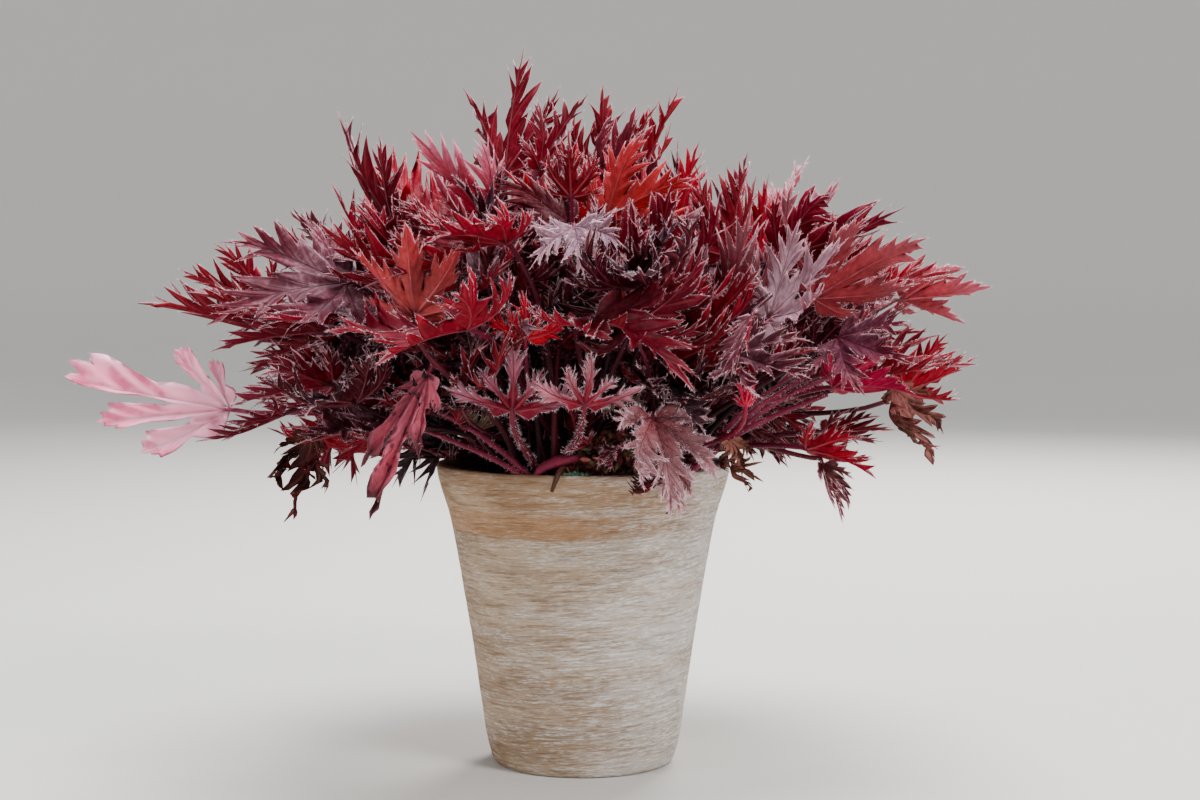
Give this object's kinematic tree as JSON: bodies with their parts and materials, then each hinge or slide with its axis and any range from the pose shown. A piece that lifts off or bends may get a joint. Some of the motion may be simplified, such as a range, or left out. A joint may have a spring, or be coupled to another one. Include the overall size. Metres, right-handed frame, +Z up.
{
  "type": "potted coral bells",
  "caption": "Coral bells in a flared clay pot: a wide mound of dark burgundy, deeply cut and toothed leaves on slender stems, standing on its flat base.",
  "frame": {"origin": "centre of the pot's flat underside, on the pot's axis", "axes": "+Z up along the pot's axis, -Y towards the side that the picture shows, +X to its right"},
  "size_m": [0.4571, 0.3788, 0.363],
  "materials": {
    "fired_clay": "matte",
    "potting_mix": "matte",
    "burgundy_leaf": "satin",
    "dark_leaf": "satin",
    "crimson_leaf": "satin",
    "orange_leaf": "satin",
    "mauve_leaf": "satin",
    "rose_leaf": "satin",
    "pink_leaf": "satin",
    "dried_leaf": "matte"
  },
  "bodies": {
    "root": {"pot": "fired_clay", "soil": "potting_mix", "crown_middle": "burgundy_leaf", "crown_1": "burgundy_leaf", "crown_2": "burgundy_leaf", "crown_3": "burgundy_leaf", "crown_4": "burgundy_leaf", "crown_5": "burgundy_leaf", "crown_6": "burgundy_leaf", "pink_leaf": "pink_leaf", "dried_leaf_left": "dried_leaf", "spotted_leaf": "crimson_leaf", "rim_leaf": "rose_leaf", "hanging_leaf_right": "orange_leaf", "dried_leaf_right": "dried_leaf", "red_leaf_right": "crimson_leaf", "crimson_leaf_right": "crimson_leaf", "orange_leaf_left": "orange_leaf", "orange_leaf_top": "orange_leaf", "orange_leaf_right": "orange_leaf", "orange_leaf_far_right": "orange_leaf", "tallest_leaf": "burgundy_leaf", "lilac_leaf": "mauve_leaf", "silver_leaf": "mauve_leaf", "scarlet_leaf": "crimson_leaf", "front_leaf_wide": "rose_leaf", "front_leaf_small": "rose_leaf", "top_left_leaf": "burgundy_leaf", "top_leaf_red": "crimson_leaf", "top_leaf_crimson": "crimson_leaf", "top_leaf_mauve": "mauve_leaf", "star_leaf": "crimson_leaf", "upright_leaf_right": "rose_leaf", "left_leaf_long": "burgundy_leaf", "left_leaf_brown": "burgundy_leaf", "left_leaf_low": "burgundy_leaf", "left_leaf_dark": "dark_leaf", "right_leaf_low": "crimson_leaf", "right_leaf_lace": "dark_leaf", "right_leaf_dark": "dark_leaf", "top_right_leaf": "crimson_leaf", "red_bud": "crimson_leaf"}
  },
  "joints": []
}
